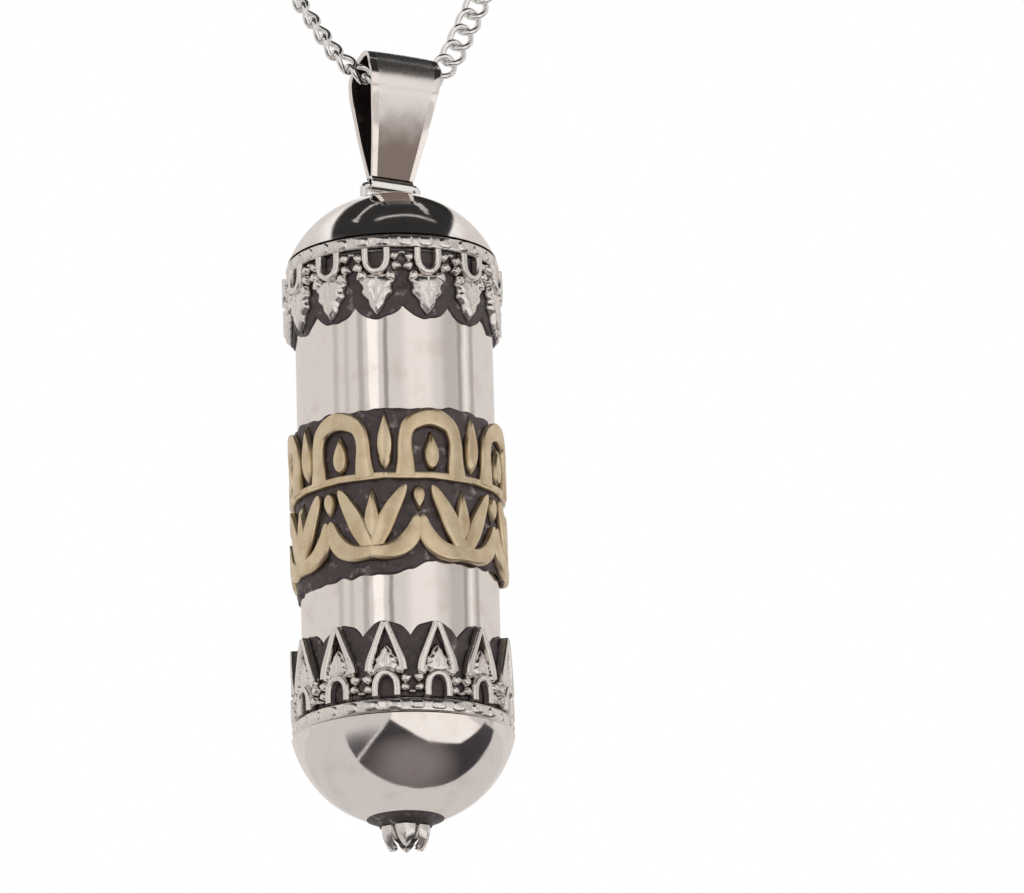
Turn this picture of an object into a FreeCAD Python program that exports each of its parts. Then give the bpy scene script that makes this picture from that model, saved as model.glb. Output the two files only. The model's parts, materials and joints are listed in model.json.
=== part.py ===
"""Mezuzah pendant: a silver capsule that holds a rolled parchment and hangs by a folded bail from a
neck chain.

The frame is +Z up along the capsule's axis, +X along the bail's width and -Y towards the front. The
origin is the middle of the chain where it passes through the bail. All sizes are in millimetres, and
each piece is written to parts/NAME.step.
"""
import FreeCAD, Part
import math
import os

V = FreeCAD.Vector
X, Y, Z = V(1, 0, 0), V(0, 1, 0), V(0, 0, 1)
ORIGIN = V(0, 0, 0)

# ---------------------------------------------------------------- driving dimensions
TUBE_R = 5.0                 # outside radius of the capsule's tube
TUBE_WALL = 0.4
SKIN = 0.35                  # sheet thickness of the domes and the bail
BACKING = 0.12               # thickness of the blackened sheets round the tube

CHAIN_D = 1.36               # outside diameter of the neck chain
CHAIN_GAP = 0.45             # room above the chain at the middle of the bail
CHAIN_RUNS = (4.5, 4.5, 4.4)                 # straight runs from the bail outwards
CHAIN_LEFT_DEG = (36.0, 34.6, 33.0)          # lean of those runs from the vertical, left side
CHAIN_RIGHT_DEG = (26.0, 25.5, 25.0)         # and right side
CHAIN_CORNERS = (2.2, 2.35)  # distance of the route's corners from the bail's middle, left and right
LINK_BEND = 1.1              # radius of the chain's bend at the bail, in chain diameters
CUP_WALL = 0.22              # end cup of the chain: wall, depth of its socket and whole length
CUP_DEPTH = 0.9
CUP_LENGTH = 1.5
EYE_R = 0.62                 # eyes of the cup and of the clasp: middle radius and wire radius
EYE_WIRE_R = 0.2
JUMP_RING_R = 1.5
JUMP_WIRE_R = 0.26

BAIL_RISE = 6.75             # height of the folded strip
BAIL_R = 1.9                 # outside radius of its rounded top
BAIL_TOP_W = 3.92
BAIL_FOOT_W = 2.3
BAIL_FOOT_DEPTH = 1.0        # across both closed leaves at the foot
BAIL_SHOULDER = 1.3          # the strip starts to narrow this far below its top
BAIL_CORNER = 0.12           # how much narrower the very top is on each side
BAIL_SEAT = 0.25             # the strip's end lies this far below its knuckle's top, round the knuckle
BAIL_LEAN_DEG = 4.0          # the bail leans a little off the capsule's axis

KNUCKLE_R = 0.44
KNUCKLE_BORE_R = 0.30
KNUCKLE_W = 2.2
STAPLE_R = 0.19
STAPLE_GAP = 0.14            # between the knuckle's end and each leg of the staple

TOP_DOME_R = 5.3             # radius of the upper dome's edge
TOP_DOME_RISE = 3.55
FOOT_DOME_R = 5.6
FOOT_DOME_RISE = 4.45

BEADS = 30
BEAD_R = 0.38
BEAD_LENGTH = 0.98
TOP_BEAD_RING_R = 5.08       # radius of the circle through the beads' middles
FOOT_BEAD_RING_R = 5.25
BEAD_RING_RISE = 0.82

MOTIFS = 13                  # repeats of the gallery pattern round the tube
TOP_GALLERY_RISE = 3.7
FOOT_GALLERY_RISE = 4.1
GALLERY_R = 5.62             # outside radius of the gallery relief
GALLERY_RAIL = 0.22          # width of the thin rail that holds the relief together
ARCH_R = 0.5                 # the gallery's small arch: middle radius, half width and leg
ARCH_HALF = 0.15
ARCH_LEG = 0.73

TOP_POLISHED = 4.45          # bare tube between the upper gallery and the plate
PLATE_RISE = 8.9
FOOT_POLISHED = 2.1

ORNAMENTS = 7                # repeats of the gold ornament in each row
UPPER_ROW_RISE = 3.7
LOWER_ROW_RISE = 4.15
ROW_GAP = 0.15               # dark line between the rows
ROW_MARGIN = 0.2             # plate above the upper row
ROW_RAIL = 0.42              # height of the bar that the upper row stands on
GOLD_R = 5.52

THREAD_PITCH = 0.6
THREAD_TURNS = 4.0
COLLAR_BORE_R = 4.30         # bottom of the inner thread's grooves
COLLAR_CREST_R = 4.02
SPIGOT_CORE_R = 3.95         # bottom of the outer thread's grooves
SPIGOT_CREST_R = 4.22
SPIGOT_BORE_R = 3.4
THREAD_ROOT_W = 0.32
THREAD_CREST_W = 0.14
SPIGOT_RISE = 3.1
THREAD_FROM = 0.45           # start of the cap's thread above the cap's rim
THREAD_SINK = 0.05           # how deep a ridge is set in the wall that carries it
FLANGE = 0.4
FLANGE_R = 5.15

SCROLL_R = 3.0
SCROLL_CORE_R = 0.7
SCROLL_HEADROOM = 1.2        # from the scroll's top to the tube's top
TIE_W = 0.7
TIE_THICK = 0.22

FINIAL_R = 1.25              # outside radius of the dark ring at its foot; it grows to COLLAR_R at the dome
COLLAR_R = 1.95
COLLAR_RISE = 0.3
FINIAL_SINK = 0.1            # the crown starts this far below the dome
CROWN_CORE_R = 0.8
PETALS = 6
PETAL_R = 0.42
PETAL_STRETCH = 1.38         # length of a petal over its width
PETAL_LEAN_DEG = 24.0
PETAL_OUT = 0.88             # distance of a petal's middle from the axis
PETAL_DROP = 0.56            # and below the crown's top
PIN_R = 0.3
PIN_HEAD_R = 0.6
PIN_HEAD = 0.25
PIN_REACH = 0.7              # how far the pin reaches below the dome

CLASP_RING_R = 2.1
CLASP_TUBE_R = 0.55
CLASP_BORE_R = 0.36
TRIGGER_R = 0.30
CLASP_MOUTH_DEG = 46.0
CLASP_BORE_DEG = 165.0       # how far round the ring the spring's bore runs
CLASP_SOCKET_DEG = 10.0      # depth of the hole that takes the bolt's tip
CLASP_SLOT_FROM_DEG = 8.0    # the thumb tab's slot, from the mouth
CLASP_SLOT_TO_DEG = 26.0     # and beyond the bolt's travel
BOLT_TIP_DEG = 6.0
BOLT_TAIL_DEG = 20.0
TAB_DEG = 14.0
TAB_R = 0.16
TAB_RISE = 0.75
TAB_KNOB_R = 0.28

# ---------------------------------------------------------------- levels worked out from them
BAIL_CENTRE_Z = CHAIN_D / 2 + CHAIN_GAP - (BAIL_R - SKIN)
BAIL_TOP_Z = BAIL_CENTRE_Z + BAIL_R
BAIL_FOOT_Z = BAIL_TOP_Z - BAIL_RISE
KNUCKLE_Z = BAIL_FOOT_Z - 0.34
DOME_TOP_Z = KNUCKLE_Z - KNUCKLE_R - 0.08
DOME_BASE_Z = DOME_TOP_Z - TOP_DOME_RISE
TOP_GALLERY_Z = DOME_BASE_Z - BEAD_RING_RISE
TOP_GALLERY_TIP_Z = TOP_GALLERY_Z - TOP_GALLERY_RISE
PLATE_TOP_Z = TOP_GALLERY_TIP_Z - TOP_POLISHED
PLATE_FOOT_Z = PLATE_TOP_Z - PLATE_RISE
FOOT_GALLERY_TIP_Z = PLATE_FOOT_Z - FOOT_POLISHED
FOOT_GALLERY_Z = FOOT_GALLERY_TIP_Z - FOOT_GALLERY_RISE
TUBE_FOOT_Z = FOOT_GALLERY_Z - BEAD_RING_RISE
PARTING = 0.04               # hairline between the tube's end and the cap
CAP_Z = TUBE_FOOT_Z - PARTING
CAP_FOOT_Z = CAP_Z - FOOT_DOME_RISE
BAIL_SHIFT = (BAIL_CENTRE_Z - KNUCKLE_Z) * math.sin(math.radians(BAIL_LEAN_DEG))


# ---------------------------------------------------------------- small tools
def save(name, shape):
    """Write one piece and print its size, so that a bad solid shows at once."""
    solids = shape.Solids
    whole = solids[0] if len(solids) == 1 else shape
    whole.exportStep(f"parts/{name}.step")
    box = whole.BoundBox
    print(f"{name:26s} {len(solids)} solid(s) {whole.Volume:9.3f} mm3 valid {whole.isValid()} "
          f"z {box.ZMin:.2f} to {box.ZMax:.2f}")


def ring(r_in, r_out, z_low, z_high):
    """A plain band round the axis."""
    outer = Part.makeCylinder(r_out, z_high - z_low, V(0, 0, z_low), Z)
    return outer.cut(Part.makeCylinder(r_in, z_high - z_low, V(0, 0, z_low), Z))


def polygon_face(points):
    return Part.Face(Part.makePolygon(points + points[:1]))


def leaf_wire(foot, tip, half_width):
    """A pointed leaf from foot to tip in the plane y = 0: two arcs that meet at both ends."""
    along = tip - foot
    side = V(along.z, 0, -along.x).normalize() * half_width
    middle = foot + along * 0.5
    right = Part.Arc(foot, middle + side, tip).toShape()
    left = Part.Arc(tip, middle - side, foot).toShape()
    return Part.Wire([right, left])


def bar_wire(start, end, half_width):
    """A straight bar with round ends in the plane y = 0."""
    along = (end - start).normalize()
    side = V(along.z, 0, -along.x) * half_width
    return Part.Wire([
        Part.LineSegment(start + side, end + side).toShape(),
        Part.Arc(end + side, end + along * half_width, end - side).toShape(),
        Part.LineSegment(end - side, start - side).toShape(),
        Part.Arc(start - side, start - along * half_width, start + side).toShape(),
    ])


def arch_wire(centre, radius, half_width, leg, up):
    """A horseshoe in the plane y = 0: a half ring with two legs. Its bend points along z times up."""
    outer, inner = radius + half_width, radius - half_width
    bend, foot = V(0, 0, up), V(0, 0, -up * leg)
    return Part.Wire([
        Part.LineSegment(centre + foot + X * outer, centre + X * outer).toShape(),
        Part.Arc(centre + X * outer, centre + bend * outer, centre - X * outer).toShape(),
        Part.LineSegment(centre - X * outer, centre - X * outer + foot).toShape(),
        Part.LineSegment(centre - X * outer + foot, centre - X * inner + foot).toShape(),
        Part.LineSegment(centre - X * inner + foot, centre - X * inner).toShape(),
        Part.Arc(centre - X * inner, centre + bend * inner, centre + X * inner).toShape(),
        Part.LineSegment(centre + X * inner, centre + X * inner + foot).toShape(),
        Part.LineSegment(centre + X * inner + foot, centre + X * outer + foot).toShape(),
    ])


def wrap(wires, r_in, r_out):
    """Stamp flat outlines through the front of a shell of the two radii, joined as one solid."""
    stamps = [Part.Face(w).translated(V(0, -r_in + 1.2, 0)).extrude(V(0, -(r_out - r_in) - 1.6, 0))
              for w in wires]
    stamp = stamps[0].multiFuse(stamps[1:]) if len(stamps) > 1 else stamps[0]
    box = stamp.BoundBox
    return stamp.common(ring(r_in, r_out, box.ZMin - 1, box.ZMax + 1))


def turned(shape, degrees):
    return shape.rotated(ORIGIN, Z, degrees)


def spherical_shell(edge_r, rise, base_z, top_z):
    """A thin dome from its edge circle at base_z to its pole at top_z, open at the base."""
    radius = (edge_r ** 2 + rise ** 2) / (2 * rise)
    up = 1 if top_z > base_z else -1
    centre = V(0, 0, top_z - up * radius)
    shell = Part.makeSphere(radius, centre).cut(Part.makeSphere(radius - SKIN, centre))
    keep_from = base_z if up > 0 else top_z - 1
    return shell.common(Part.makeCylinder(edge_r + 1, rise + 1, V(0, 0, keep_from), Z))


def tube_along(path, r_out, r_in=0.0):
    """A round bar or pipe along a wire."""
    start = path.OrderedEdges[0]
    at, heading = start.valueAt(start.FirstParameter), start.tangentAt(start.FirstParameter)
    bar = path.makePipeShell([Part.Wire(Part.makeCircle(r_out, at, heading))], True, False)
    if r_in <= 0:
        return bar
    return bar.cut(path.makePipeShell([Part.Wire(Part.makeCircle(r_in, at, heading))], True, False))


def rounded_path(points, radii):
    """Straight runs joined by tangent arcs; radii has one radius for each inner point."""
    edges, start = [], points[0]
    for before, corner, after, radius in zip(points, points[1:], points[2:], radii):
        back, ahead = (before - corner).normalize(), (after - corner).normalize()
        half_turn = (math.pi - back.getAngle(ahead)) / 2
        reach = radius * math.tan(half_turn)
        to_middle = (back + ahead).normalize()
        crown = corner + to_middle * (radius / math.cos(half_turn) - radius)
        edges.append(Part.LineSegment(start, corner + back * reach).toShape())
        edges.append(Part.Arc(corner + back * reach, crown, corner + ahead * reach).toShape())
        start = corner + ahead * reach
    edges.append(Part.LineSegment(start, points[-1]).toShape())
    return Part.Wire(edges)


def leaning(degrees):
    """The direction that leans from straight up towards +X."""
    return V(math.sin(math.radians(degrees)), 0, math.cos(math.radians(degrees)))


# ---------------------------------------------------------------- neck chain
def chain_points():
    """The chain's route from its left end, through the bail, to its right end."""
    left = [V(BAIL_SHIFT - CHAIN_CORNERS[0], 0, 0)]
    right = [V(BAIL_SHIFT + CHAIN_CORNERS[1], 0, 0)]
    for run, left_deg, right_deg in zip(CHAIN_RUNS, CHAIN_LEFT_DEG, CHAIN_RIGHT_DEG):
        left.append(left[-1] + leaning(-left_deg) * run)
        right.append(right[-1] + leaning(right_deg) * run)
    return left[::-1] + right


def chain_radii(points):
    """Each arc is as large as its runs allow, but it has the bail edge's size at the bail."""
    radii = []
    for before, corner, after in zip(points, points[1:], points[2:]):
        half_turn = (math.pi - (before - corner).getAngle(after - corner)) / 2
        shorter = min(before.distanceToPoint(corner), corner.distanceToPoint(after))
        largest = 0.45 * shorter / math.tan(half_turn)
        radii.append(min(largest, LINK_BEND * CHAIN_D) if half_turn > math.radians(15) else largest)
    return radii


def chain_run():
    points = chain_points()
    radii = chain_radii(points)
    path = rounded_path(points, radii)
    tube = tube_along(path, CHAIN_D / 2)
    print("chain route", [(round(p.x, 2), round(p.z, 2)) for p in points])
    print("chain radii", [round(r, 1) for r in radii], "length", round(path.Length, 2),
          "volume over section times length", round(tube.Volume / path.Length / (math.pi * CHAIN_D ** 2 / 4), 4))
    return tube


def end_cap():
    """A cup that takes the chain's last link, with an eye on top. The chain's end is at the origin."""
    cup = Part.makeCylinder(CHAIN_D / 2 + CUP_WALL, CUP_LENGTH, V(0, 0, -CUP_DEPTH), Z)
    cup = cup.cut(Part.makeCylinder(CHAIN_D / 2, CUP_DEPTH, V(0, 0, -CUP_DEPTH), Z))
    eye = Part.makeTorus(EYE_R, EYE_WIRE_R, V(0, 0, EYE_Z), Y)
    return cup.fuse(eye).removeSplitter()


EYE_Z = CUP_LENGTH - CUP_DEPTH + EYE_R + EYE_WIRE_R / 2      # middle of the eye above the chain's end


def jump_ring():
    return Part.makeTorus(JUMP_RING_R, JUMP_WIRE_R, V(0, 0, EYE_Z + JUMP_RING_R), X)


CLASP_Z = EYE_Z + EYE_R + EYE_WIRE_R + CLASP_RING_R + CLASP_TUBE_R


def clasp_arc(radius, from_deg, to_deg):
    """Part of a round bar bent to the clasp's ring. The angle starts at the top and grows to the back."""
    circle = Part.makeCircle(radius, V(CLASP_RING_R, 0, 0), Z)
    bar = Part.Face(Part.Wire(circle)).revolve(ORIGIN, Y, to_deg - from_deg)
    placed = bar.rotated(ORIGIN, Y, from_deg - 90)
    return placed.rotated(ORIGIN, Z, 90).translated(V(0, 0, CLASP_Z))


MOUTH_FROM = -20.0
MOUTH_TO = MOUTH_FROM + CLASP_MOUTH_DEG


def clasp_body():
    """The spring ring's tube with its mouth, the slot for the thumb tab and the loop below it."""
    outer = clasp_arc(CLASP_TUBE_R, MOUTH_TO, MOUTH_FROM + 360)
    bore = clasp_arc(CLASP_BORE_R, MOUTH_TO, MOUTH_TO + CLASP_BORE_DEG)
    socket = clasp_arc(CLASP_BORE_R, MOUTH_FROM - CLASP_SOCKET_DEG, MOUTH_FROM)
    slot_from = MOUTH_TO + CLASP_SLOT_FROM_DEG
    slot_to = MOUTH_TO + CLASP_MOUTH_DEG + CLASP_SLOT_TO_DEG
    half, reach = TAB_R + 0.04, CLASP_RING_R + 1
    slot = polygon_face([V(CLASP_RING_R, -half, 0), V(reach, -half, 0), V(reach, half, 0), V(CLASP_RING_R, half, 0)])
    slot = slot.revolve(ORIGIN, Y, slot_to - slot_from).rotated(ORIGIN, Y, slot_from - 90)
    slot = slot.rotated(ORIGIN, Z, 90).translated(V(0, 0, CLASP_Z))
    loop = Part.makeTorus(EYE_R, EYE_WIRE_R, V(0, 0, EYE_Z + EYE_R), X)
    body = outer.cut(bore).cut(socket).cut(slot)
    return body.fuse(loop.cut(clasp_arc(CLASP_BORE_R + 0.02, MOUTH_TO, MOUTH_TO + CLASP_BORE_DEG)))


def clasp_trigger():
    """The curved bolt that closes the mouth, with its thumb tab."""
    bolt = clasp_arc(TRIGGER_R, MOUTH_FROM - BOLT_TIP_DEG, MOUTH_TO + BOLT_TAIL_DEG)
    tab = Part.makeCylinder(TAB_R, TAB_RISE, V(CLASP_RING_R + 0.1, 0, 0), X)
    tab = tab.fuse(Part.makeSphere(TAB_KNOB_R, V(CLASP_RING_R + 0.1 + TAB_RISE, 0, 0)))
    tab = tab.rotated(ORIGIN, Y, MOUTH_TO + TAB_DEG - 90).rotated(ORIGIN, Z, 90)
    return bolt.fuse(tab.translated(V(0, 0, CLASP_Z)))


def clasp_spring():
    return clasp_arc(TRIGGER_R - 0.04, MOUTH_TO + BOLT_TAIL_DEG, MOUTH_TO + CLASP_BORE_DEG - 1)


def at_chain_end(shape, which):
    """Carry a fitting from the origin to one end of the chain, in line with its last run."""
    points = chain_points()
    end, lean = (points[0], -CHAIN_LEFT_DEG[-1]) if which == "left" else (points[-1], CHAIN_RIGHT_DEG[-1])
    return shape.rotated(ORIGIN, Y, lean).translated(end)


# ---------------------------------------------------------------- bail
def bail_outline(offset, foot_z, foot_half):
    """The folded strip's side outline: a round top and two leaves that close towards the foot."""
    radius = BAIL_R - offset
    drop = BAIL_CENTRE_Z - foot_z
    reach = math.hypot(drop, foot_half)
    lean = math.asin(radius / reach) - math.atan2(foot_half, drop)
    touch = V(0, -radius * math.cos(lean), BAIL_CENTRE_Z - radius * math.sin(lean))
    other = V(0, -touch.y, touch.z)
    foot, other_foot = V(0, -foot_half, foot_z), V(0, foot_half, foot_z)
    return Part.Wire([
        Part.Arc(touch, V(0, 0, BAIL_CENTRE_Z + radius), other).toShape(),
        Part.LineSegment(other, other_foot).toShape(),
        Part.LineSegment(other_foot, foot).toShape(),
        Part.LineSegment(foot, touch).toShape(),
    ])


def leaned(shape):
    return shape.rotated(V(0, 0, KNUCKLE_Z), Y, BAIL_LEAN_DEG)


def bail_strip():
    """The folded strip: wide and round at the top, narrow at the foot, where both leaves meet."""
    top, foot, below = BAIL_TOP_W / 2, BAIL_FOOT_W / 2, BAIL_FOOT_Z - 0.3
    outer = Part.Face(bail_outline(0.0, below, BAIL_FOOT_DEPTH / 2))
    inner = Part.Face(bail_outline(SKIN, BAIL_FOOT_Z + SKIN, 0.12))
    strip = outer.cut(inner).translated(V(-BAIL_TOP_W, 0, 0)).extrude(V(2 * BAIL_TOP_W, 0, 0))
    crown_z, shoulder_z = BAIL_TOP_Z + 0.1, BAIL_TOP_Z - BAIL_SHOULDER
    face = polygon_face([
        V(BAIL_CORNER - top, -5, crown_z), V(top - BAIL_CORNER, -5, crown_z),
        V(top, -5, shoulder_z), V(foot, -5, below), V(-foot, -5, below), V(-top, -5, shoulder_z)])
    strip = strip.common(face.extrude(V(0, 10, 0)))
    seat = Part.makeCylinder(KNUCKLE_R, BAIL_TOP_W, V(-BAIL_TOP_W / 2, 0, KNUCKLE_Z), X)
    waste = Part.makeBox(8, 8, 2, V(-4, -4, KNUCKLE_Z + BAIL_SEAT - 2))
    return leaned(strip.cut(seat).cut(waste))


def bail_knuckle():
    outer = Part.makeCylinder(KNUCKLE_R, KNUCKLE_W, V(-KNUCKLE_W / 2, 0, KNUCKLE_Z), X)
    return leaned(outer.cut(Part.makeCylinder(KNUCKLE_BORE_R, KNUCKLE_W, V(-KNUCKLE_W / 2, 0, KNUCKLE_Z), X)))


def dome_z(radius_out):
    """Height of the upper dome's outer face at a distance from the axis."""
    sphere = (TOP_DOME_R ** 2 + TOP_DOME_RISE ** 2) / (2 * TOP_DOME_RISE)
    return DOME_TOP_Z - sphere + math.sqrt(sphere ** 2 - radius_out ** 2)


STAPLE_X = KNUCKLE_W / 2 + STAPLE_GAP + STAPLE_R


def bail_staple():
    """The wire staple through the knuckle, with both legs set in the dome."""
    foot_z = dome_z(STAPLE_X) - SKIN - 0.15
    path = rounded_path([V(-STAPLE_X, 0, foot_z), V(-STAPLE_X, 0, KNUCKLE_Z),
                         V(STAPLE_X, 0, KNUCKLE_Z), V(STAPLE_X, 0, foot_z)], [STAPLE_R * 1.15] * 2)
    return tube_along(path, STAPLE_R)


# ---------------------------------------------------------------- capsule
def top_dome():
    shell = spherical_shell(TOP_DOME_R, TOP_DOME_RISE, DOME_BASE_Z, DOME_TOP_Z)
    for side in (-1, 1):
        shell = shell.cut(Part.makeCylinder(STAPLE_R, 3, V(side * STAPLE_X, 0, DOME_TOP_Z - 2), Z))
    return shell


def bead_ring(circle_r, z_low):
    """A band round the tube with a row of long beads on it."""
    middle_z = z_low + BEAD_RING_RISE / 2
    band = ring(TUBE_R, circle_r + 0.06, z_low + 0.02, z_low + BEAD_RING_RISE - 0.02)
    straight = BEAD_LENGTH / 2 - BEAD_R
    outline = Part.Wire([
        Part.Arc(V(-straight - BEAD_R, 0, 0), V(-straight - BEAD_R * 0.7071, 0, BEAD_R * 0.7071),
                 V(-straight, 0, BEAD_R)).toShape(),
        Part.LineSegment(V(-straight, 0, BEAD_R), V(straight, 0, BEAD_R)).toShape(),
        Part.Arc(V(straight, 0, BEAD_R), V(straight + BEAD_R * 0.7071, 0, BEAD_R * 0.7071),
                 V(straight + BEAD_R, 0, 0)).toShape(),
        Part.LineSegment(V(straight + BEAD_R, 0, 0), V(-straight - BEAD_R, 0, 0)).toShape()])
    bead = Part.Face(outline).revolve(ORIGIN, X, 360).translated(V(0, -circle_r, middle_z))
    beads = [turned(bead, 360.0 / BEADS * i) for i in range(BEADS)]
    return band.multiFuse(beads).cut(Part.makeCylinder(TUBE_R, 4, V(0, 0, z_low - 2), Z))


def gallery_wires(rim_z, away, rise):
    """One repeat of the gallery: an arch open to the rim, petals on its bend and a pointed leaf."""
    centre = V(0, 0, rim_z + away * ARCH_LEG)
    wires = [arch_wire(centre, ARCH_R, ARCH_HALF, ARCH_LEG, away)]
    for degrees in (-98, -64, -31, 31, 64, 98):
        heading = V(math.sin(math.radians(degrees)), 0, away * math.cos(math.radians(degrees)))
        wires.append(leaf_wire(centre + heading * 0.55, centre + heading * 1.16, 0.15))
    wires.append(leaf_wire(centre + V(0, 0, away * 0.6), V(0, 0, rim_z + away * (rise - 0.35)), 0.6))
    return wires


def gallery_relief(rim_z, away, rise):
    """The bright stamped pattern, held together by a thin rail along the rim."""
    motif = wrap(gallery_wires(rim_z, away, rise), TUBE_R + BACKING, GALLERY_R)
    rail_low, rail_high = sorted((rim_z, rim_z + away * GALLERY_RAIL))
    rail = ring(TUBE_R + BACKING, GALLERY_R - 0.25, rail_low, rail_high)
    return rail.multiFuse([turned(motif, 360.0 / MOTIFS * i) for i in range(MOTIFS)])


def gallery_backing(rim_z, away, rise):
    """The blackened sheet under the pattern. Its free edge is scalloped round each leaf."""
    tip_z = rim_z + away * rise
    low, high = sorted((rim_z, tip_z))
    band = ring(TUBE_R, TUBE_R + BACKING, low, high)
    half_pitch = math.pi * TUBE_R / MOTIFS
    notch = Part.Face(leaf_wire(V(0, 0, tip_z - away * 0.8), V(0, 0, tip_z + away * 2.2), half_pitch * 0.8))
    notch = notch.translated(V(0, -TUBE_R + 1.5, 0)).extrude(V(0, -3, 0))
    notches = [turned(notch, 360.0 / MOTIFS * (i + 0.5)) for i in range(MOTIFS)]
    return band.cut(notches)


def capsule_tube():
    return ring(TUBE_R - TUBE_WALL, TUBE_R, TUBE_FOOT_Z, DOME_BASE_Z)


def band_plate():
    return ring(TUBE_R, TUBE_R + BACKING, PLATE_FOOT_Z, PLATE_TOP_Z)


UPPER_ROW_TOP_Z = PLATE_TOP_Z - ROW_MARGIN
UPPER_ROW_FOOT_Z = UPPER_ROW_TOP_Z - UPPER_ROW_RISE
LOWER_ROW_TOP_Z = UPPER_ROW_FOOT_Z - ROW_GAP
LOWER_ROW_FOOT_Z = LOWER_ROW_TOP_Z - LOWER_ROW_RISE


def gold_arch():
    """Upper row: a horseshoe over an upright leaf on a bar, with another leaf beside it."""
    top, foot = UPPER_ROW_TOP_Z, UPPER_ROW_FOOT_Z
    half_bar = ROW_RAIL / 2
    radius, half_width = 1.25, 0.42
    bend_z = top - radius - half_width
    bar_from, bar_to = V(-1.78, 0, foot + half_bar), V(2.2, 0, foot + half_bar)
    arch = wrap([arch_wire(V(0, 0, bend_z), radius, half_width, bend_z - foot, 1),
                 bar_wire(bar_from, bar_to, half_bar),
                 leaf_wire(V(0, 0, foot + 0.1), V(0, 0, top - 1.1), 0.42)], TUBE_R + BACKING, GOLD_R)
    side_leaf = wrap([leaf_wire(V(0, 0, foot + 0.02), V(0, 0, top), 0.45)], TUBE_R + BACKING, GOLD_R)
    return arch.fuse(turned(side_leaf, 180.0 / ORNAMENTS))


def gold_palmette():
    """Lower row: a fan of five leaves that grow out of a round foot."""
    root = V(0, 0, LOWER_ROW_FOOT_Z + 0.62)
    wires = [bar_wire(root - X * 0.6, root + X * 0.6, 0.6)]
    for degrees, length, half_width in ((-66, 2.35, 0.5), (-26, 3.65, 0.48), (0, 3.5, 0.45),
                                        (26, 3.65, 0.48), (66, 2.35, 0.5)):
        wires.append(leaf_wire(root, root + leaning(degrees) * length, half_width))
    return wrap(wires, TUBE_R + BACKING, GOLD_R)


# ---------------------------------------------------------------- screw cap
def thread_ridge(root_r, crest_r, z_low, turns):
    """One helical ridge from its root radius to its crest, sunk into the wall that carries it."""
    helix = Part.makeHelix(THREAD_PITCH, THREAD_PITCH * turns, root_r)
    side = 1 if crest_r > root_r else -1
    slope = (THREAD_ROOT_W - THREAD_CREST_W) / 2 / abs(crest_r - root_r)
    base_r, base_half = root_r - side * THREAD_SINK, THREAD_ROOT_W / 2 + slope * THREAD_SINK
    profile = Part.makePolygon([V(base_r, 0, -base_half), V(crest_r, 0, -THREAD_CREST_W / 2),
                                V(crest_r, 0, THREAD_CREST_W / 2), V(base_r, 0, base_half),
                                V(base_r, 0, -base_half)])
    return Part.Wire(helix).makePipeShell([Part.Wire(profile)], True, True).translated(V(0, 0, z_low))


THREAD_START_Z = CAP_Z + THREAD_FROM


def thread_collar():
    """The threaded ring soldered inside the tube's foot."""
    turns = THREAD_TURNS - 0.5
    collar = ring(COLLAR_BORE_R, TUBE_R - TUBE_WALL, TUBE_FOOT_Z, TUBE_FOOT_Z + SPIGOT_RISE)
    ridge = thread_ridge(COLLAR_BORE_R, COLLAR_CREST_R, THREAD_START_Z + THREAD_PITCH / 2, turns)
    return collar.fuse(ridge)


def cap_spigot():
    """The threaded neck of the cap, with the flange that closes the dome and carries the scroll."""
    neck = ring(SPIGOT_BORE_R, SPIGOT_CORE_R, CAP_Z, CAP_Z + SPIGOT_RISE)
    flange = Part.makeCylinder(FLANGE_R, FLANGE, V(0, 0, CAP_Z - FLANGE), Z)
    ridge = thread_ridge(SPIGOT_CORE_R, SPIGOT_CREST_R, THREAD_START_Z, THREAD_TURNS)
    return flange.fuse(neck).fuse(ridge)


PIN_HOLE = Part.makeCylinder(PIN_R, 2, V(0, 0, CAP_FOOT_Z - 1), Z)


def foot_dome():
    shell = spherical_shell(FOOT_DOME_R, FOOT_DOME_RISE, CAP_Z, CAP_FOOT_Z)
    return shell.cut(PIN_HOLE).cut(Part.makeCylinder(FLANGE_R, FLANGE, V(0, 0, CAP_Z - FLANGE), Z))


def finial_ring():
    """The dark ring between the dome and the crown."""
    body = Part.makeCone(FINIAL_R, COLLAR_R, COLLAR_RISE, V(0, 0, CAP_FOOT_Z - FINIAL_SINK), Z)
    radius = (FOOT_DOME_R ** 2 + FOOT_DOME_RISE ** 2) / (2 * FOOT_DOME_RISE)
    return body.cut(Part.makeSphere(radius, V(0, 0, CAP_FOOT_Z + radius))).cut(PIN_HOLE)


def finial_crown():
    """A bead with a ring of petals whose tips close below it."""
    base_z = CAP_FOOT_Z - FINIAL_SINK
    crown = Part.makeSphere(CROWN_CORE_R, V(0, 0, base_z - 0.3))
    for i in range(PETALS):
        petal = Part.makeSphere(PETAL_R, V(0, 0, 0))
        petal = petal.transformGeometry(FreeCAD.Matrix(1, 0, 0, 0, 0, 1.0, 0, 0, 0, 0, PETAL_STRETCH, 0))
        petal = petal.rotated(ORIGIN, Y, -PETAL_LEAN_DEG).translated(V(PETAL_OUT, 0, base_z - PETAL_DROP))
        crown = crown.fuse(turned(petal, 360.0 / PETALS * (i + 0.5)))
    crown = crown.common(Part.makeCylinder(2, 2, V(0, 0, base_z - 2), Z))
    return crown.cut(Part.makeCylinder(PIN_R, PIN_REACH - FINIAL_SINK, V(0, 0, CAP_FOOT_Z - PIN_REACH), Z))


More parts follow.
